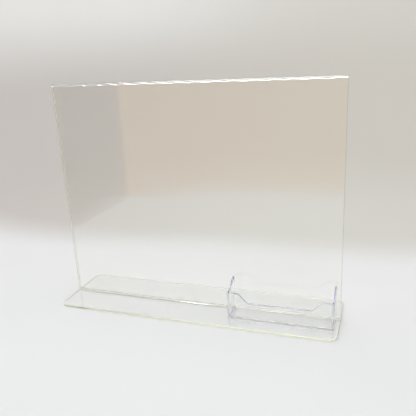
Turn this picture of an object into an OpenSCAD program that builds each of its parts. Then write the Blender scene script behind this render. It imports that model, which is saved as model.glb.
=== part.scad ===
// Countertop guard of clear acrylic: an upright folded double from one sheet, cemented to a flat base plate,
// with a moulded three-sided card pocket cemented by its open back to the upright's front face.
// Origin: centre of the base's footprint, on the surface that it stands on. +X runs along the upright,
// +Y away from the pocket, +Z up. Millimetres.

/* [Upright] */
// Width of the upright, and length of the base plate
panel_w = 279.4; // [220:0.1:420]
// Height of the upright above the base plate
panel_h = 220.4; // [120:0.1:320]
// Thickness of the sheet that the upright is folded from
sheet_t = 2; // [1.5:0.1:3]
// Clear space between the upright's two walls
fold_gap = 1; // [0.6:0.1:2]

/* [Base plate] */
// Depth of the base plate, front to back
base_d = 76.2; // [76:0.1:120]
// Thickness of the base plate
base_t = 2; // [1.5:0.1:5]
// Radius of the base plate's corners
base_corner_r = 8; // [3:0.5:15]

/* [Card pocket] */
// Outer width of the pocket
pocket_w = 98.45; // [96:0.05:106]
// Outer depth of the pocket, from its front face to its open back
pocket_d = 21.2; // [18:0.1:26]
// Thickness of the pocket's walls and floor
pocket_wall = 1.6; // [1.2:0.1:2.4]
// Height of the pocket's sides at the back
pocket_back_h = 34; // [30:0.5:50]
// Height of the front wall at its two ears
pocket_ear_h = 26.7; // [22:0.1:30]
// Height of the front wall between the ears
pocket_dip_h = 17.7; // [10:0.1:20]
// Width of each ear at the top
ear_w = 10.6; // [7:0.1:16]
// Width of each slope between an ear and the low middle
slope_w = 8.9; // [5:0.1:12]
// Distance from the pocket's side to the right end of the base plate
pocket_inset = 3.85; // [2:0.05:60]
// Clear height between the base plate and the pocket's floor
pocket_lift = 0.6; // [0.6:0.1:5]

/* [Joining] */
// Height and width of the cement bead along each foot of the upright
bead_leg = 0.5; // [0.3:0.1:0.5]
// Distance that each end of a bead stops short of the upright's end
bead_short = 1.2; // [0.5:0.1:5]
// Thickness of the cement between the pocket's back edges and the upright
film_t = 0.3; // [0.2:0.1:0.6]
// Distance that this cement spills past the edges of the pocket's walls
film_spill = 0.2; // [0:0.1:0.5]

/* [Hidden] */
$fn = 48;

panel_t = 2 * sheet_t + fold_gap;               // outside thickness of the folded upright
fold_r = panel_t / 2;                           // outside radius of the fold
pocket_corner_r = 1.2;                          // outside radius of the pocket's upright corners
pocket_inner_r = 0.6;                           // inside radius of the same corners
ear_round_r = 3;                                // rounding where an ear turns down into its slope
dip_round_r = 2.2;                              // rounding where a slope runs out into the low middle
pocket_run_on = 5;                              // how far the pocket's outline runs on past its open back
pocket_back_y = -panel_t / 2 - film_t;
pocket_front_y = pocket_back_y - pocket_d;
pocket_right_x = panel_w / 2 - pocket_inset;
pocket_left_x = pocket_right_x - pocket_w;
pocket_z = base_t + pocket_lift;                // underside of the pocket's floor
cut = 1;                                        // how far a cutting shape runs past what it cuts

clear_acrylic = [0.88, 0.92, 0.84, 0.40];
clear_edge = [0.86, 0.90, 0.70, 0.50];
clear_styrene = [0.82, 0.84, 0.92, 0.45];
clear_cement = [0.95, 0.95, 0.93, 0.60];

function unit(v) = v / norm(v);

// Arc of radius r that rounds the corner at b, between the sides towards a and c.
function arc_at(a, b, c, r, steps = 6) =
    let (
        u = unit(a - b),
        v = unit(c - b),
        half = acos(u * v) / 2,
        centre = b + unit(u + v) * r / sin(half),
        from = b + u * r / tan(half) - centre,
        to = b + v * r / tan(half) - centre,
        start = atan2(from.y, from.x),
        turn = atan2(from.x * to.y - from.y * to.x, from * to)
    )
    [for (i = [0:steps]) centre + r * [cos(start + turn * i / steps), sin(start + turn * i / steps)]];

// Closed outline through the points, each corner rounded by its own radius; 0 leaves it sharp.
function rounded(points, radii) =
    let (n = len(points))
    [for (i = [0:n - 1])
        each radii[i] == 0
            ? [points[i]]
            : arc_at(points[(i + n - 1) % n], points[i], points[(i + 1) % n], radii[i])];

module rounded_rect(size, r) {
    union() {
        square([size.x - 2 * r, size.y], center = true);
        square([size.x, size.y - 2 * r], center = true);
        for (x = [-1, 1], y = [-1, 1])
            translate([x * (size.x / 2 - r), y * (size.y / 2 - r)])
                circle(r);
    }
}

// Section of the upright: two walls joined by a round fold at the top, open at the foot.
module fold_outline(half_t, top) {
    union() {
        translate([-half_t, 0])
            square([2 * half_t, top - half_t]);
        translate([0, top - half_t])
            circle(half_t);
    }
}

module fold_section() {
    difference() {
        fold_outline(fold_r, panel_h);
        translate([0, -cut])
            fold_outline(fold_gap / 2, panel_h - sheet_t + cut);
    }
}

// Turns a section drawn in Y and Z so that it runs along X, centred.
module along_x(length) {
    rotate([90, 0, 90])
        linear_extrude(length, center = true)
            children();
}

module base_plate() {
    color(clear_edge)
        linear_extrude(base_t)
            rounded_rect([panel_w, base_d], base_corner_r);
}

module folded_panel() {
    color(clear_acrylic)
        translate([0, 0, base_t])
            along_x(panel_w)
                fold_section();
}

// One bead: a hollow fillet in the corner between a wall of the upright and the base plate.
module bead_section() {
    difference() {
        square(bead_leg);
        translate([bead_leg, bead_leg])
            circle(bead_leg * 0.92);
    }
}

module seam_cement() {
    color(clear_cement)
        for (side = [-1, 1])
            translate([0, side * panel_t / 2, base_t])
                along_x(panel_w - 2 * bead_short)
                    mirror([side < 0 ? 1 : 0, 0])
                        bead_section();
}

// Cement between the upright and the back edges of the pocket's sides and floor: one flat U.
module pocket_cement() {
    hole_in = pocket_wall + film_spill;
    color(clear_cement)
        translate([pocket_left_x, -panel_t / 2, pocket_z])
            rotate([90, 0, 0])
                linear_extrude(film_t)
                    difference() {
                        translate([-film_spill, 0])
                            square([pocket_w + 2 * film_spill, pocket_back_h]);
                        translate([hole_in, hole_in])
                            square([pocket_w - 2 * hole_in, pocket_back_h]);
                    }
}

// Outline of the pocket's sides, seen from the end: low at the front, rising to the back.
module pocket_side_outline() {
    polygon([
        [0, 0],
        [pocket_d, 0],
        [pocket_d, pocket_back_h],
        [pocket_wall, pocket_ear_h],
        [0, pocket_ear_h]
    ]);
}

// What is cut from the front wall between its ears: the slopes meet the ears and the low middle in arcs.
module dip_outline() {
    top = pocket_ear_h;
    low = pocket_dip_h;
    left = ear_w;
    right = pocket_w - ear_w;
    above = top + cut;
    half_ear = ear_w / 2;
    polygon(rounded(
        [
            [left - half_ear, above],
            [left - half_ear, top],
            [left, top],
            [left + slope_w, low],
            [right - slope_w, low],
            [right, top],
            [right + half_ear, top],
            [right + half_ear, above]
        ],
        [0, 0, ear_round_r, dip_round_r, dip_round_r, ear_round_r, 0, 0]
    ));
}

// Block with the pocket's plan, taken in by an inset; it runs on past the back, which is cut off square.
module pocket_block(inset, r) {
    block_d = pocket_d + pocket_run_on;
    translate([pocket_w / 2, block_d / 2])
        linear_extrude(pocket_back_h + 2 * cut)
            rounded_rect([pocket_w - 2 * inset, block_d - 2 * inset], r);
}

module card_pocket() {
    color(clear_styrene)
        translate([pocket_left_x, pocket_front_y, pocket_z])
            difference() {
                intersection() {
                    pocket_block(0, pocket_corner_r);
                    translate([pocket_w / 2, 0, 0])
                        along_x(pocket_w + 2 * cut)
                            pocket_side_outline();
                }
                translate([0, 0, pocket_wall])
                    pocket_block(pocket_wall, pocket_inner_r);
                translate([0, pocket_wall + cut, 0])
                    rotate([90, 0, 0])
                        linear_extrude(pocket_wall + 2 * cut)
                            dip_outline();
            }
}

base_plate();
folded_panel();
seam_cement();
pocket_cement();
card_pocket();
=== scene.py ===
import math
import bpy
import bmesh
import numpy as np
from mathutils import Matrix, Vector


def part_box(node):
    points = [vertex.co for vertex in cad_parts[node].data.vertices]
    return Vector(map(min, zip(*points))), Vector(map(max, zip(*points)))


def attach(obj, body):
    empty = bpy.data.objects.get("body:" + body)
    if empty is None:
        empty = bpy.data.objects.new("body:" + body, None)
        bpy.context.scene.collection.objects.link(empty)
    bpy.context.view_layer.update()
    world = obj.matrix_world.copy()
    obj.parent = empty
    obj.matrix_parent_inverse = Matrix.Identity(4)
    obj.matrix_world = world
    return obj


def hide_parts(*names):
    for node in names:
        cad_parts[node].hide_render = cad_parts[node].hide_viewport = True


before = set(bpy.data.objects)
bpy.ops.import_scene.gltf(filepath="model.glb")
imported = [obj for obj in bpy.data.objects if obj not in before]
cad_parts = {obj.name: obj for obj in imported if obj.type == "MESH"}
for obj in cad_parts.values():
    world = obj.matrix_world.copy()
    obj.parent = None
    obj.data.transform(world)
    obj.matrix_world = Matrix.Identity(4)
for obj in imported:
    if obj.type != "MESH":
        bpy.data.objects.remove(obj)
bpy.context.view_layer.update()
mm = 0.001
hair = 1e-7                                   # lengths in metres that differ by less count as equal
weld = 1e-6                                   # points closer than this are one point
crease = math.radians(50)                     # a sharper bend between two faces shows as a corner
print("frame loaded:", ", ".join(sorted(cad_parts)))


class Wire:                                   # one output socket, which sums and products can use
    def __init__(self, tree, socket=None):
        self.tree, self.socket = tree, socket

    # any node: its type, its settings, then the values or links of its sockets, by name or number
    def node(self, kind, settings=None, inputs=None, pick=0):
        made = self.tree.nodes.new(kind)
        for name, value in (settings or {}).items():
            setattr(made, name, value)
        for name, value in (inputs or {}).items():
            if isinstance(value, Wire):
                self.tree.links.new(value.socket, made.inputs[name])
            else:
                made.inputs[name].default_value = value
        return Wire(self.tree, made.outputs[pick] if made.outputs else None)

    def maths(self, operation, first, second):
        return self.node("ShaderNodeMath", {"operation": operation}, {0: first, 1: second})

    def __add__(self, other):
        return self.maths("ADD", self, other)

    def __radd__(self, other):
        return self.maths("ADD", other, self)

    def __sub__(self, other):
        return self.maths("SUBTRACT", self, other)

    def __rsub__(self, other):
        return self.maths("SUBTRACT", other, self)

    def __mul__(self, other):
        return self.maths("MULTIPLY", self, other)

    def step(self, low, high):                # 0 below low, 1 above high, a smooth S between
        return self.node("ShaderNodeMapRange", {"interpolation_type": "SMOOTHSTEP"},
                         {"Value": self, "From Min": low, "From Max": high})

    def noise(self, stretch, detail=3.0, rough=0.5):   # noise of a place, each axis stretched first
        spread = self.node("ShaderNodeVectorMath", {"operation": "MULTIPLY"}, {0: self, 1: stretch})
        return self.node("ShaderNodeTexNoise", {}, {
            "Vector": spread, "Scale": 1.0, "Detail": detail, "Roughness": rough})

    def axis(self, letter):
        return self.node("ShaderNodeSeparateXYZ", {}, {0: self}, "XYZ".index(letter))

    # two colours mixed by a share; the node's inputs 6 and 7 and its output 2 are the colours
    def blend(self, share, first, second):
        return self.node("ShaderNodeMix", {"data_type": "RGBA"}, {0: share, 6: first, 7: second}, 2)


def newMaterial(name):
    made = bpy.data.materials.new(name)
    made.use_nodes = True
    made.node_tree.nodes.clear()
    wire = Wire(made.node_tree)
    return made, wire, wire.node("ShaderNodeTexCoord", pick="Object")


# grid of points (rows, columns, 3) to quads between neighbours; each row wraps round to its start, and each
# mark gives every point a value for the material
def gridPiece(name, points, marks=None):
    rows, columns = points.shape[:2]
    number = np.arange(rows * columns).reshape(rows, columns)
    number = np.hstack([number, number[:, :1]])
    quads = np.stack([number[:-1, :-1], number[:-1, 1:], number[1:, 1:], number[1:, :-1]], -1)
    mesh = bpy.data.meshes.new(name)
    mesh.from_pydata(points.reshape(-1, 3).tolist(), [], quads.reshape(-1, 4).tolist())
    for mark, values in (marks or {}).items():
        held = mesh.attributes.new(mark, "FLOAT", "POINT")
        held.data.foreach_set("value", np.ascontiguousarray(values, np.float32).ravel())
    piece = bpy.data.objects.new(name, mesh)
    bpy.context.scene.collection.objects.link(piece)
    return piece


# doubles merged, faces without area dropped, faces turned outwards, smooth but for its corners
def closeUp(piece):
    work = bmesh.new()
    work.from_mesh(piece.data)
    bmesh.ops.remove_doubles(work, verts=work.verts, dist=weld)
    bmesh.ops.dissolve_degenerate(work, edges=work.edges, dist=weld)
    bmesh.ops.recalc_face_normals(work, faces=work.faces)
    openEdges = sum(1 for edge in work.edges if len(edge.link_faces) != 2)
    work.to_mesh(piece.data)
    work.free()
    piece.data.shade_smooth()
    piece.data.set_sharp_from_angle(angle=crease)
    print(piece.name, len(piece.data.polygons), "faces,", openEdges, "open edges")
    return piece


# a flat face over each open end of a grid
def capEnds(piece):
    work = bmesh.new()
    work.from_mesh(piece.data)
    bmesh.ops.remove_doubles(work, verts=work.verts, dist=weld)
    border = [edge for edge in work.edges if len(edge.link_faces) == 1]
    bmesh.ops.holes_fill(work, edges=border, sides=0)
    work.to_mesh(piece.data)
    work.free()


def joinPieces(name, pieces):
    bpy.ops.object.select_all(action="DESELECT")
    for piece in pieces:
        piece.select_set(True)
    bpy.context.view_layer.objects.active = pieces[0]
    bpy.ops.object.join()
    pieces[0].name = pieces[0].data.name = name
    return pieces[0]


def smoothStep(value, low, high):             # 0 below low, 1 above high, 3s^2 - 2s^3 between
    share = np.clip((value - low) / (high - low), 0, 1)
    return share * share * (3 - 2 * share)


# mean of sines with unrelated wavelengths and drawn phases, between -1 and 1
def waver(along, wavelengths, seed):
    phases = np.random.default_rng(seed).random(len(wavelengths))
    return np.mean([np.sin(2 * np.pi * (along / length + phase))
                    for length, phase in zip(wavelengths, phases)], axis=0)


# rectangle with round corners, anticlockwise from its right front corner: quarter circles of the radius
# joined by straight sides; returns the points and the direction outwards at each
def roundedOutline(halfX, halfY, radius, cornerSteps, sideSteps):
    turn = np.radians(np.linspace(0, 90, cornerSteps + 1))
    arcs = []
    for signX, signY, start in [(1, -1, -90), (1, 1, 0), (-1, 1, 90), (-1, -1, 180)]:
        out = np.stack([np.cos(math.radians(start) + turn), np.sin(math.radians(start) + turn)], -1)
        centre = np.array([signX * (halfX - radius), signY * (halfY - radius)])
        arcs.append((centre + radius * out, out))
    points, outs = [], []
    for i, (arc, out) in enumerate(arcs):
        after = arcs[(i + 1) % 4][0][0]
        share = np.linspace(0, 1, sideSteps[i % 2] + 1)[1:-1, None]
        points += [arc, arc[-1] * (1 - share) + after * share]
        outs += [out, np.repeat(out[-1:], len(share), 0)]
    return np.vstack(points), np.vstack(outs)


# quarter circle as (distance in from the side, height from the edge), from the face round to the side
def arrisSteps(radius, count):
    angle = np.radians(np.linspace(90, 0, count))
    return radius * (1 - np.cos(angle)), radius * (1 - np.sin(angle))


# closed plate with rounded arrises: place = outline - way * outwards, where way and height follow a quarter
# circle whose radius may differ from point to point. Each face has one row flatWay in and one nearShare of
# that past the arris, and is gathered onto the middle line
def plateGrid(name, form, outline, outs, low, high, arris, middleHalf):
    inset, drop = (steps[:, None] * arris for steps in arrisSteps(1.0, form["arrisRows"]))
    flat = np.stack([form["flatWay"] + 0 * arris, arris + form["flatWay"] * form["nearShare"]])
    ways = np.concatenate([flat, inset, inset[::-1], flat[::-1]])
    heights = np.concatenate([high + 0 * flat, high - drop, low + drop[::-1], low + 0 * flat])
    points = np.concatenate([outline[None] - ways[..., None] * outs[None], heights[..., None]], -1)
    middle = np.stack([np.clip(outline[:, 0], -middleHalf, middleHalf), 0 * outline[:, 0]], -1)
    caps = [np.concatenate([middle, np.full((len(outline), 1), z)], -1)[None] for z in (high, low)]
    edge = np.zeros((len(ways) + 2, len(outline)))
    edge[3:-3] = 1
    return gridPiece(name, np.concatenate([caps[0], points, caps[1]]), marks={"edge": edge})


# wear that every clear piece has: how its noise is stretched, the noise's detail and roughness, and for what
# comes in patches the noise at which a patch starts and is full
wear = {
    "haze": ((28, 28, 28), 4.0, 0.6), "hazePatch": (0.50, 0.75),
    "dust": ((1500, 1500, 1500), 1.0), "dustPatch": (0.70, 0.76),
    "waver": ((15, 15, 15), 1.0, 0.4), "toolLines": ((1300, 1300, 90), 2.0),
    "lines": (2.0, 0.6), "scratchPatch": (0.68, 0.72),
}


# clear plastic: glass of a body tint that turns to the rim colour on the marked rows (on the cut edges a
# deeper tint, on the pocket a painted shade), with faint haze and dust, hairline scratches, tool lines on the
# edges and faces that waver slowly
def clearPlastic(name, look):
    made, wire, place = newMaterial(name)
    edge = wire.node("ShaderNodeAttribute", {"attribute_name": "edge"}, pick="Fac")
    # mixes body and rim colour: a real edge tint on the base and upright, a painted shade on the pocket
    tintAndShade = wire.blend(edge, (*look["body"], 1), (*look["rim"], 1))
    haze = place.noise(*wear["haze"]).step(*wear["hazePatch"])
    dust = place.noise(*wear["dust"]).step(*wear["dustPatch"])
    rough = look["rough"] + haze * look["haze"] + dust * look["dust"] + edge * look["rimRough"]
    slow = place.noise(*wear["waver"]) * look["waver"]
    scratches = place.noise(look["scratchWay"], *wear["lines"]).step(*wear["scratchPatch"]) * look["scratch"]
    toolLines = place.noise(*wear["toolLines"]) * edge * look["toolLines"]
    relief = slow + scratches + toolLines
    if "streak" in look:                      # flow lines of the moulding
        relief = relief + place.noise(look["streakWay"], *wear["lines"]) * look["streak"]
    bump = wire.node("ShaderNodeBump", {}, {"Distance": 1.0, "Height": relief})
    sockets = {"Base Color": tintAndShade, "Roughness": rough, "IOR": look["ior"], "Normal": bump}
    if "paintedGlint" in look:                      # metallic patches: painted glints that mirror like silver
        paintedGlint = wire.node("ShaderNodeAttribute", {"attribute_name": "paintedGlint"}, pick="Fac")
        sockets["Metallic"] = paintedGlint * look["paintedGlint"]
    shader = wire.node("ShaderNodeBsdfPrincipled", {}, {**sockets, "Transmission Weight": 1.0})
    soak = wire.node("ShaderNodeVolumeAbsorption", {}, {
        "Color": (*look["soak"], 1), "Density": look["depth"]})
    wire.node("ShaderNodeOutputMaterial", {}, {"Surface": shader, "Volume": soak})
    return made


def finishPiece(piece, material, node):
    piece.data.materials.clear()
    piece.data.materials.append(material)
    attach(piece, "root")
    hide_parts(node)


# camera: where a person stands in front of the right end, looking down at the stand
viewPoint = {
    "place": (0.16774, -0.42736, 0.24742), "turn": 19.70, "down": 17.56, "roll": 3.017,
    "lens": 43.40, "sensor": 36, "clip": (0.01, 20),
}


def makeCamera(look):
    turn, down, roll = (math.radians(look[key]) for key in ("turn", "down", "roll"))
    ahead = Vector((-math.sin(turn) * math.cos(down), math.cos(turn) * math.cos(down), -math.sin(down)))
    level = Vector((math.cos(turn), math.sin(turn), 0))
    below = ahead.cross(level)
    right = level * math.cos(roll) + below * math.sin(roll)
    below = below * math.cos(roll) - level * math.sin(roll)
    camera = bpy.data.objects.new("camera", bpy.data.cameras.new("camera"))
    bpy.context.scene.collection.objects.link(camera)
    turned = Matrix((right, -below, -ahead)).transposed().to_4x4()
    camera.matrix_world = Matrix.Translation(look["place"]) @ turned
    camera.data.lens, camera.data.sensor_width = look["lens"], look["sensor"]
    camera.data.clip_start, camera.data.clip_end = look["clip"]
    bpy.context.scene.camera = camera


makeCamera(viewPoint)
print("camera set")

# base plate: a cut plate with polished edges, rounded more along its front than along its back
basePlate = {
    "cornerRadius": 8 * mm, "arris": (0.6 * mm, 0.2 * mm), "arrisRows": 6, "cornerSteps": 14,
    "sideSteps": (24, 90), "flatWay": 5 * mm, "nearShare": 0.125,
    "look": {"body": (0.985, 0.988, 0.985), "rim": (0.985, 0.99, 0.93), "soak": (0.94, 0.96, 0.68),
             "depth": 7.0, "ior": 1.49, "rough": 0.0, "haze": 0.02, "dust": 0.05, "rimRough": 0.28,
             "waver": 0.000005, "scratch": 0.00001, "scratchWay": (30, 900, 30), "toolLines": 0.000004},
}


def makeBasePlate(form):
    low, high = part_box("base_plate")
    corner = form["cornerRadius"]
    outline, outs = roundedOutline(high.x, high.y, corner, form["cornerSteps"], form["sideSteps"])
    front, back = form["arris"]
    arris = front + (back - front) * smoothStep(outline[:, 1], low.y, high.y)
    piece = plateGrid("basePlate", form, outline, outs, low.z, high.z, arris, high.x - high.y)
    finishPiece(closeUp(piece), clearPlastic("clearBase", form["look"]), "base_plate")


makeBasePlate(basePlate)

# upright: one sheet bent double over its top edge; the heat-bent crown waves along its length
upright = {
    "sheet": 2 * mm, "arris": 0.18 * mm, "arrisSteps": 4, "throughSteps": 3, "xSteps": 330,
    "footGap": 0.02 * mm, "firstRow": 1 * mm, "wallStart": 20 * mm, "wallSteps": 8, "archSteps": 22,
    "fade": 6 * mm, "fadeSteps": 14, "crownShare": 0.6, "pinch": 0.05,
    "wave": 17.4 * mm, "waveDepth": 0.42 * mm, "innerShift": 0.30, "skew": 0.45,
    "wander": 0.7, "wanderWaves": (83 * mm, 61 * mm, 37 * mm), "seed": 4,
    "look": {"body": (0.998, 1.0, 0.997), "rim": (0.99, 0.99, 0.94), "soak": (0.96, 0.97, 0.58),
             "depth": 5.0, "ior": 1.49, "rough": 0.0, "haze": 0.015, "dust": 0.05, "rimRough": 0.26,
             "waver": 0.00001, "scratch": 0.00001, "scratchWay": (900, 30, 30), "toolLines": 0.000004},
}


# the sheet's edge-on outline (along, through) is carried up the front wall, over a half circle and down the
# back wall: place = middle line + through * outwards; the crown then dips by waveDepth * (1 - lift), where
# lift = (1 + sin(phase + skew * sin(phase))) / 2 and phase turns once in each wave along the sheet
def makeUpright(form):
    low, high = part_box("folded_panel")
    halfThick, halfSheet = high.y, form["sheet"] / 2
    foot, archZ, radius = low.z + form["footGap"], high.z - halfThick, halfThick - halfSheet
    bendZ = archZ - form["fade"]              # the crown's waves start here
    climb = np.concatenate([[foot, foot + form["firstRow"]],
                            np.linspace(foot + form["wallStart"], bendZ, form["wallSteps"]),
                            np.linspace(bendZ, archZ, form["fadeSteps"])[1:]])
    angle = np.pi - np.linspace(0, np.pi, form["archSteps"] + 1)[1:-1]
    middleY = np.concatenate([-radius + 0 * climb, radius * np.cos(angle), radius + 0 * climb])
    middleZ = np.concatenate([climb, archZ + radius * np.sin(angle), climb[::-1]])
    outY = np.concatenate([-1 + 0 * climb, np.cos(angle), 1 + 0 * climb])
    outZ = np.concatenate([0 * climb, np.sin(angle), 0 * climb])
    sideSteps = (form["throughSteps"], form["xSteps"])
    outline, _ = roundedOutline(high.x, halfSheet, form["arris"], form["arrisSteps"], sideSteps)
    along, through = outline[None, :, 0], outline[None, :, 1]
    y = middleY[:, None] + through * outY[:, None]
    z = middleZ[:, None] + through * outZ[:, None]
    bent = smoothStep(z, bendZ, archZ + halfThick * form["crownShare"])   # 0 on the walls, 1 at the crown
    phase = 2 * np.pi * (along / form["wave"] + form["innerShift"] * (through / halfSheet - 1) / 2)
    phase = phase + form["wander"] * waver(along, form["wanderWaves"], form["seed"])
    lift = 0.5 + 0.5 * np.sin(phase + form["skew"] * np.sin(phase))
    z = z - form["waveDepth"] * (1 - lift) * bent
    y = y * (1 - form["pinch"] * bent * (0.5 + 0.5 * np.cos(phase)))
    points = np.stack([np.broadcast_to(along, y.shape), y, z], -1)
    ends = points[[0, -1]].copy()
    ends[..., 1] = np.array([-radius, radius])[:, None]
    points = np.concatenate([ends[:1], points, ends[1:]])
    rim = (np.abs(outline[:, 0]) > high.x - form["arris"] - hair).astype(float)
    piece = gridPiece("foldedUpright", points, marks={"edge": np.repeat(rim[None], len(points), 0)})
    finishPiece(closeUp(piece), clearPlastic("clearUpright", form["look"]), "folded_panel")


makeUpright(upright)

# cement: a thin hollow bead in each corner between the upright and the base plate, fuller here and there
cement = {
    "clear": 0.02 * mm, "xSteps": 420, "arcSteps": 7, "hollow": 0.85, "thin": 0.45, "fullness": (-0.5, 0.6),
    "swellWaves": (71 * mm, 43 * mm, 19 * mm, 7 * mm), "seeds": (11, 23),
    # patches of the front bead made metallic where the seam shows white glints: painted glints
    "glintPatches": [(-19 * mm, 9.5 * mm, 1.0), (-114 * mm, -78 * mm, 0.4)], "glintFade": 3 * mm,
    "look": {"body": (0.99, 0.985, 0.96), "rim": (0.99, 0.985, 0.96), "soak": (0.95, 0.93, 0.85),
             "depth": 20.0, "ior": 1.46, "rough": 0.02, "haze": 0.05, "dust": 0.1, "rimRough": 0.0,
             "waver": 0.0001, "scratch": 0.0, "scratchWay": (30, 30, 30), "toolLines": 0.0, "paintedGlint": 1.0},
}


# section: corner, foot of the bead, hollow arc, top of the bead; its leg is scaled along by a waver and runs
# out in a quarter circle at each end. Each glint patch of the front bead, (start, end, share), is metallic by
# its share, a painted glint, and fades out past both of its ends
def makeCement(form):
    low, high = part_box("seam_cement")
    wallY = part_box("folded_panel")[1].y
    leg = high.z - low.z - form["clear"]
    along = np.linspace(low.x, high.x, form["xSteps"])
    ends = np.sqrt(np.clip(1 - ((np.abs(along) - high.x + leg) / leg).clip(0, 1) ** 2, 0, 1))
    angle = np.radians(np.linspace(-90, -180, form["arcSteps"]))
    across = np.concatenate([[0], 1 + form["hollow"] * np.cos(angle)])
    up = np.concatenate([[0], 1 + form["hollow"] * np.sin(angle)])
    across[1], up[-1] = 1, 1
    fade = form["glintFade"]
    pieces = []
    for side, seed in zip((-1, 1), form["seeds"]):
        swell = smoothStep(waver(along, form["swellWaves"], seed), *form["fullness"])
        size = (leg * (form["thin"] + (1 - form["thin"]) * swell) * ends)[:, None]
        points = np.stack([np.broadcast_to(along[:, None], (len(along), len(across))),
                           side * (wallY + form["clear"] + size * across),
                           low.z + form["clear"] + size * up], -1)
        glint = sum(share * smoothStep(along, start - fade, start + fade)
                  * (1 - smoothStep(along, end - fade, end + fade))
                  for start, end, share in form["glintPatches"]) * (side < 0)
        marks = {"edge": np.zeros(points.shape[:2]), "paintedGlint": np.repeat(glint[:, None], len(across), 1)}
        pieces.append(closeUp(gridPiece("cementBead", points, marks=marks)))
    piece = joinPieces("cementBeads", pieces)
    finishPiece(piece, clearPlastic("setCement", form["look"]), "seam_cement")


makeCement(cement)

# pocket's cement: a flat film between the upright and the back edges of the pocket's sides and floor
pocketFilm = {
    "wall": 1.6 * mm, "spill": 0.2 * mm, "clear": 0.02 * mm, "steps": (60, 150),
    "width": 0.86, "swell": 0.14, "swellWaves": (0.13, 0.071, 0.037, 0.019), "seed": 31,
    "look": {"body": (0.985, 0.985, 0.98), "rim": (0.985, 0.985, 0.98), "soak": (0.95, 0.95, 0.93),
             "depth": 10.0, "ior": 1.46, "rough": 0.03, "haze": 0.05, "dust": 0.1, "rimRough": 0.0,
             "waver": 0.0001, "scratch": 0.0, "scratchWay": (30, 30, 30), "toolLines": 0.0},
}


# a rectangle carried down one side, along the floor and up the other side; its width is the film's own times
# (width + swell * waver), where the waver's waves are shares of the whole way
def makePocketFilm(form):
    low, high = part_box("pocket_cement")
    half, clear = form["wall"] / 2 + form["spill"], form["clear"]
    left, right, foot = low.x + half, high.x - half, low.z + half
    down = np.linspace(high.z - clear, foot, form["steps"][0])
    across = np.linspace(left, right, form["steps"][1])[1:-1]
    path = np.concatenate([np.column_stack([left + 0 * down, down]),
                           np.column_stack([across, foot + 0 * across]),
                           np.column_stack([right + 0 * down, down[::-1]])])
    way = np.linspace(0, 1, len(path))
    wide = (half - clear) * (form["width"] + form["swell"] * waver(way, form["swellWaves"], form["seed"]))
    sideways = np.sign(path[:, 0] - (left + right) / 2)
    onFloor = (path[:, 0] > left + hair) & (path[:, 0] < right - hair)
    turned = np.column_stack([np.where(path[:, 1] > foot + hair, sideways, 0), np.where(onFloor, -1.0, 0)])
    corner = (path[:, 1] <= foot + hair) & (turned[:, 1] == 0)
    turned[corner] = np.column_stack([sideways[corner], -np.ones(corner.sum())])
    rings = []
    for out, y in [(-1, low.y + clear), (1, low.y + clear), (1, high.y - clear), (-1, high.y - clear)]:
        spot = path + out * wide[:, None] * turned
        rings.append(np.column_stack([spot[:, 0], np.full(len(path), y), spot[:, 1]]))
    points = np.stack(rings, 1)
    ends = points[[0, -1]].mean(1, keepdims=True).repeat(4, 1)
    points = np.concatenate([ends[:1], points, ends[1:]])
    piece = closeUp(gridPiece("pocketFilm", points, marks={"edge": np.zeros(points.shape[:2])}))
    finishPiece(piece, clearPlastic("setFilm", form["look"]), "pocket_cement")


makePocketFilm(pocketFilm)

# card pocket: a moulded tray of three walls, low in the middle of its front, its sides rising to the upright
cardPocket = {
    "wall": 1.6 * mm, "cornerRadius": 1.2 * mm, "innerRadius": 0.6 * mm, "leastRadius": 0.1 * mm,
    "rimRadius": 0.5 * mm, "floorFillet": 0.7 * mm, "earHeight": 26.7 * mm, "dipHeight": 17.7 * mm,
    "earWidth": 10.6 * mm, "slopeWidth": 8.9 * mm, "earBlend": 1.4 * mm, "dipBlend": 1.0 * mm,
    "cornerSteps": 5, "sideSteps": 30, "frontSteps": 170, "footRows": 5, "rimRows": 6, "filletRows": 6,
    "outerRows": (0.3, 0.6, 0.9, 0.985), "innerRows": (0.985, 0.9, 0.6, 0.3, 0.04),
    "underShares": (1.5, 0.8), "underRim": 0.2 * mm, "floorRun": 0.5 * mm, "backIn": 3.5 * mm,
    # shares of the dark rim colour's painted shade on the front and side rims, the foot, the band above it
    # and the front corners
    "frontShade": 0.75, "sideShade": 1.0, "footShade": 0.2, "bandShade": 0.22, "cornerShade": 0.4,
    "footBand": (-0.6 * mm, 1.6 * mm, 2.8 * mm),
    # rim: a dark navy painted shade, laid on the marked rows
    "look": {"body": (0.998, 0.999, 1.0), "rim": (0.14, 0.13, 0.28), "soak": (0.95, 0.95, 0.98),
             "depth": 5.0, "ior": 1.58, "rough": 0.0, "haze": 0.02, "dust": 0.05, "rimRough": 0.03,
             "waver": 0.00012, "scratch": 0.00001, "scratchWay": (40, 40, 700), "toolLines": 0.00001,
             "streak": 0.00012, "streakWay": (9, 9, 620)},
}


# a corner between level and 1-in-1, made round within reach of it: 0, then (t + reach)^2 / (4 reach), then t
def easedCorner(value, reach):
    middle = (value + reach) ** 2 / (4 * reach)
    return np.where(value < -reach, 0, np.where(value > reach, value, middle))


# height of the rim at a place: ears, slopes and dip along the front wall, a straight rise along the sides
def rimHeight(form, plan, low, high):
    halfX, middleX = (high.x - low.x) / 2, (high.x + low.x) / 2
    foot = halfX - form["earWidth"] - form["slopeWidth"]
    way = np.abs(plan[:, 0] - middleX) - foot
    climb = easedCorner(way, form["dipBlend"]) - easedCorner(way - form["slopeWidth"], form["earBlend"])
    front = form["dipHeight"] + (form["earHeight"] - form["dipHeight"]) / form["slopeWidth"] * climb
    behind = plan[:, 1] - low.y - form["wall"]
    rise = (high.z - low.z - form["earHeight"]) * behind / (high.y - low.y - form["wall"])
    return low.z + np.where(behind <= hair, front, form["earHeight"] + rise)


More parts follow.
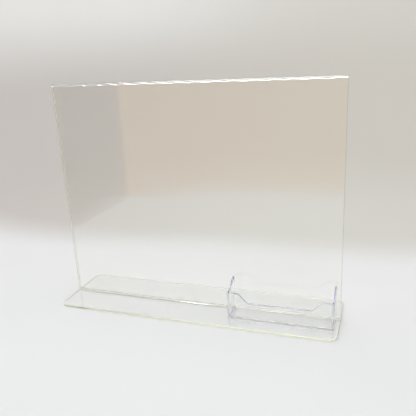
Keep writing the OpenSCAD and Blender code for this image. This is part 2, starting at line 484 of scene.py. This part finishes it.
# plan of the tray's walls, taken in by a distance: from the back of the left side forward, round a quarter
# circle, along the front, round the other quarter circle and back along the right side
def trayPlan(form, low, high, way):
    radius = form["cornerRadius"] + (form["innerRadius"] - form["cornerRadius"]) * min(1, way / form["wall"])
    radius = max(form["leastRadius"], radius - max(0, way - form["wall"]))
    left, right, front = low.x + way + radius, high.x - way - radius, low.y + way + radius
    turn = np.radians(np.linspace(0, 90, form["cornerSteps"] + 1))
    back = np.linspace(high.y, front, form["sideSteps"])[:-1]
    along = np.linspace(left, right, form["frontSteps"])[1:-1]
    return np.concatenate([
        np.column_stack([left - radius + 0 * back, back]),
        np.column_stack([left - radius * np.cos(turn), front - radius * np.sin(turn)]),
        np.column_stack([along, front - radius + 0 * along]),
        np.column_stack([right + radius * np.sin(turn), front - radius * np.cos(turn)]),
        np.column_stack([right + radius + 0 * back, back[::-1]])])


# rows run from the back of the underside, up the outside, over the rim, down to the inside floor and back
# along it; each row is the plan taken in by a distance, at a height that follows the rim. A row's mark is how
# much painted shade it takes in the dark rim colour: the foot, a band above it, the corners and the rim take
# it
def makeCardPocket(form):
    low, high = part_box("card_pocket")
    wall, rim, fillet = form["wall"], form["rimRadius"], form["floorFillet"]
    floorZ = low.z + wall
    outer, inner = trayPlan(form, low, high, 0), trayPlan(form, low, high, wall)
    outTop, inTop = rimHeight(form, outer, low, high), rimHeight(form, inner, low, high)
    backX = np.clip(outer[:, 0], low.x + form["backIn"], high.x - form["backIn"])
    backLine = np.column_stack([backX, np.full(len(outer), high.y)])
    onSide = outer[:, 1] > low.y + form["cornerRadius"]
    # painted shade on the rim rows, its share set apart for the front and the sides
    rimShade = np.where(onSide, form["sideShade"], form["frontShade"])
    rows, marks = [], []

    def addRow(plan, height, mark=0.0):
        rows.append(np.column_stack([plan, np.broadcast_to(height, len(plan))]))
        marks.append(np.broadcast_to(mark, len(plan)))

    addRow(backLine, low.z)
    underWays = [share * wall for share in form["underShares"]] + [rim + form["underRim"]]
    for way in underWays:
        addRow(trayPlan(form, low, high, way), low.z)
    # the foot's arris rows take painted shade
    for way, drop in zip(*arrisSteps(rim, form["footRows"])):
        addRow(trayPlan(form, low, high, way), low.z + drop, form["footShade"])
    # a band of painted shade just above the floor
    for up, tintAndShade in zip(form["footBand"], (form["bandShade"], form["bandShade"], 0.0)):
        addRow(outer, floorZ + up, tintAndShade)
    for share in form["outerRows"]:
        addRow(outer, low.z + rim + (outTop - low.z - 2 * rim) * share)
    for way, drop in zip(*(steps[::-1] for steps in arrisSteps(rim, form["rimRows"]))):
        addRow(trayPlan(form, low, high, way), outTop - drop, rimShade)
    for way, drop in zip(*arrisSteps(rim, form["rimRows"])):
        addRow(trayPlan(form, low, high, wall - way), inTop - drop, rimShade)
    for share in form["innerRows"]:
        addRow(inner, floorZ + fillet + (inTop - rim - floorZ - fillet) * share)
    for angle in np.radians(np.linspace(0, 90, form["filletRows"])):
        way, up = fillet * (1 - math.cos(angle)), fillet * (1 - math.sin(angle))
        addRow(trayPlan(form, low, high, wall + way), floorZ + up)
    addRow(trayPlan(form, low, high, wall + fillet + form["floorRun"]), floorZ)
    addRow(backLine, floorZ)
    points, edge = np.array(rows).transpose(1, 0, 2), np.array(marks).T
    # the front corners' rows take painted shade
    radius = form["cornerRadius"]
    corner = (outer[:, 1] < low.y + radius - hair) & ((outer[:, 0] < low.x + radius)
                                                      | (outer[:, 0] > high.x - radius))
    edge = np.maximum(edge, form["cornerShade"] * corner[:, None])
    piece = gridPiece("cardPocket", points, marks={"edge": edge})
    capEnds(piece)
    finishPiece(closeUp(piece), clearPlastic("mouldedPocket", form["look"]), "card_pocket")


makeCardPocket(cardPocket)

# stage: a pale round sweep, soft lights, and a room that shows only where something mirrors it. Past the
# horizon the paper leaves the floor's tone for painted shade and light: near at first, low past firstClimb,
# high past climb, and each goes over from left to right. Each pair gives the places between which one tone
# turns into the next
stage = {
    "middle": (0, -0.15, -0.0004), "flat": 0.33, "bend": 0.60, "wall": 1.7,
    "flatSteps": 5, "bendSteps": 32, "aroundSteps": 96,
    "floorColour": (0.810, 0.815, 0.827), "horizon": (0.13, 0.23), "horizonLean": 0.144, "leanEnd": -0.04,
    # the wall's painted shade and light: darker just past the horizon and low down, lighter high at the left
    "leftPaperShading": {"near": (0.595, 0.558, 0.535), "low": (0.565, 0.535, 0.51), "high": (0.80, 0.795, 0.78)},
    "rightPaperShading": {"near": (0.655, 0.642, 0.605), "low": (0.597, 0.575, 0.532), "high": (0.67, 0.655, 0.61)},
    "firstClimb": (0.0, 0.07), "climb": (0.17, 0.36), "leftToRight": (-0.42, 0.10),
    "grain": ((600, 600, 600), 2.0), "grainHeight": 0.00002, "rough": 0.9, "shine": 0.1,
    "world": (0.99, 1.0, 1.01), "worldStrength": 0.44, "aim": (0, 0, 0.08),
    "bounces": 48, "clearBounces": 40, "diffuseBounces": 5,
    "lights": {"keyLight": {"place": (0.25, -1.05, 1.15), "size": 0.9, "power": 7.0,
                            "colour": (1.0, 0.995, 0.985)},
               "topLight": {"place": (0.0, 0.25, 1.5), "size": 1.3, "power": 9.0,
                            "colour": (1.0, 1.0, 1.0)}},
}

# cards: corners from the near foot to the far foot, the far top and the near top. In shares of its length and
# height, a card's end is where it fades out, its foot where it fades in, and its swell how much higher the
# foot is past swellAt. Light may be mirrored as often as mirrorings says and still show the card
cards = {
    "skyCard": {"corners": [(-0.62, -0.62, 1.25), (0.80, -0.62, 1.25),
                            (0.80, 0.55, 1.25), (-0.62, 0.55, 1.25)],
                "colour": (7.0, 7.0, 6.8), "mirrorings": 99,
                "end": (1.0, 1.1), "foot": (-0.1, 0.0), "swell": 0.0},
    "leftWall": {"corners": [(-0.268, -0.08, 0), (-0.256, -0.35, 0),
                             (-0.256, -0.35, 0.6), (-0.268, -0.08, 0.6)],
                 "colour": (0.15, 0.10, 0.05), "mirrorings": 1,
                 "end": (0.89, 1.0), "foot": (-0.04, 0.06), "swell": 0.0},
    "frontRoom": {"corners": [(-0.60, -0.35, 0), (1.20, -0.35, 0), (1.20, -0.35, 0.42), (-0.60, -0.35, 0.42)],
                  "colour": (0.74, 0.475, 0.22), "mirrorings": 1,
                  "end": (1.0, 1.1), "foot": (-0.04, 0.04), "swell": 0.054},
}
swellAt = (0.19, 0.30)                        # where along a card its foot rises
nextDepth = (0.2, 0.8)                        # depths are whole numbers, so a step here asks for the next one


# radius and height of the sweep: level, then a quarter circle, then upright
def makeSweep(form):
    flat, bend, flatSteps = form["flat"], form["bend"], form["flatSteps"]
    angle = np.radians(np.linspace(0, 90, form["bendSteps"] + 1))[1:]
    radius = np.concatenate([np.linspace(0, flat, flatSteps), flat + bend * np.sin(angle), [flat + bend]])
    height = np.concatenate([np.zeros(flatSteps), bend * (1 - np.cos(angle)), [form["wall"]]])
    around = np.linspace(0, 2 * np.pi, form["aroundSteps"] + 1)[:-1]
    points = np.stack([radius[:, None] * np.cos(around), radius[:, None] * np.sin(around),
                       np.repeat(height[:, None], len(around), 1)], -1) + np.array(form["middle"])
    sweep = gridPiece("sweep", points)
    sweep.data.shade_smooth()
    made, wire, place = newMaterial("paperSweep")
    height, sideways = place.axis("Z"), place.axis("X").step(*form["leftToRight"])
    near, low, high = (wire.blend(sideways, (*form["leftPaperShading"][part], 1), (*form["rightPaperShading"][part], 1))
                       for part in ("near", "low", "high"))
    wall = wire.blend(height.step(*form["firstClimb"]), near, low)
    wall = wire.blend(height.step(*form["climb"]), wall, high)
    horizon = place.axis("Y") - wire.maths("MINIMUM", place.axis("X"), form["leanEnd"]) * form["horizonLean"]
    # floor colour on the flat, past the horizon the wall's painted shade and light
    toneAndShading = wire.blend(horizon.step(*form["horizon"]), (*form["floorColour"], 1), wall)
    grain = place.noise(*form["grain"]) * form["grainHeight"]
    bump = wire.node("ShaderNodeBump", {}, {"Distance": 1.0, "Height": grain})
    shader = wire.node("ShaderNodeBsdfPrincipled", {}, {
        "Base Color": toneAndShading, "Roughness": form["rough"], "Specular IOR Level": form["shine"], "Normal": bump})
    wire.node("ShaderNodeOutputMaterial", {}, {"Surface": shader})
    sweep.data.materials.append(made)


# a glowing card that only mirrored light shows, and that lights nothing; how much of it shows is a product of
# shares: mirrored often enough but not too often, not scattered, above its foot and before its end
def makeCard(name, form):
    mesh = bpy.data.meshes.new(name)
    mesh.from_pydata(form["corners"], [], [(0, 1, 2, 3)])
    spread = mesh.uv_layers.new(name="spread")
    spread.data.foreach_set("uv", [0, 0, 1, 0, 1, 1, 0, 1])
    card = bpy.data.objects.new(name, mesh)
    bpy.context.scene.collection.objects.link(card)
    made, wire, _ = newMaterial(name)
    spot = wire.node("ShaderNodeTexCoord", pick="UV")
    across, up = spot.axis("X"), spot.axis("Y")
    foot = (up - across.step(*swellAt) * form["swell"]).step(*form["foot"])
    depth = wire.node("ShaderNodeLightPath", pick="Glossy Depth")
    tooOften = depth.step(*(form["mirrorings"] + past for past in nextDepth))
    mirrored = depth.step(*nextDepth) * (1 - tooOften)
    scattered = wire.node("ShaderNodeLightPath", pick="Diffuse Depth").step(*nextDepth)
    share = mirrored * (1 - scattered) * foot * (1 - across.step(*form["end"]))
    glow = wire.node("ShaderNodeEmission", {}, {"Color": (*form["colour"], 1), "Strength": 1.0})
    clear = wire.node("ShaderNodeBsdfTransparent")
    mixed = wire.node("ShaderNodeMixShader", {}, {0: share, 1: clear, 2: glow})
    wire.node("ShaderNodeOutputMaterial", {}, {"Surface": mixed})
    made.cycles.emission_sampling = "NONE"
    mesh.materials.append(made)
    card.visible_camera = card.visible_diffuse = card.visible_shadow = False


def makeStage(form):
    makeSweep(form)
    for name, card in cards.items():
        makeCard(name, card)
    for name, light in form["lights"].items():
        lamp = bpy.data.lights.new(name, "AREA")
        lamp.shape, lamp.size = "SQUARE", light["size"]
        lamp.energy, lamp.color = light["power"], light["colour"]
        held = bpy.data.objects.new(name, lamp)
        bpy.context.scene.collection.objects.link(held)
        held.location = light["place"]
        towards = Vector(form["aim"]) - Vector(light["place"])
        held.rotation_euler = towards.to_track_quat("-Z", "Y").to_euler()
        held.visible_camera = False
    world = bpy.data.worlds.new("softWorld")
    world.use_nodes = True
    glow = world.node_tree.nodes["Background"]
    glow.inputs["Color"].default_value = (*form["world"], 1)
    glow.inputs["Strength"].default_value = form["worldStrength"]
    scene = bpy.context.scene
    scene.world = world
    scene.view_settings.view_transform = "Standard"
    scene.cycles.max_bounces = form["bounces"]
    scene.cycles.glossy_bounces = scene.cycles.transmission_bounces = form["clearBounces"]
    scene.cycles.diffuse_bounces = form["diffuseBounces"]
    scene.cycles.blur_glossy = 0.0            # light that reaches the floor through clear pieces stays whole


makeStage(stage)
print("stage and lights set")
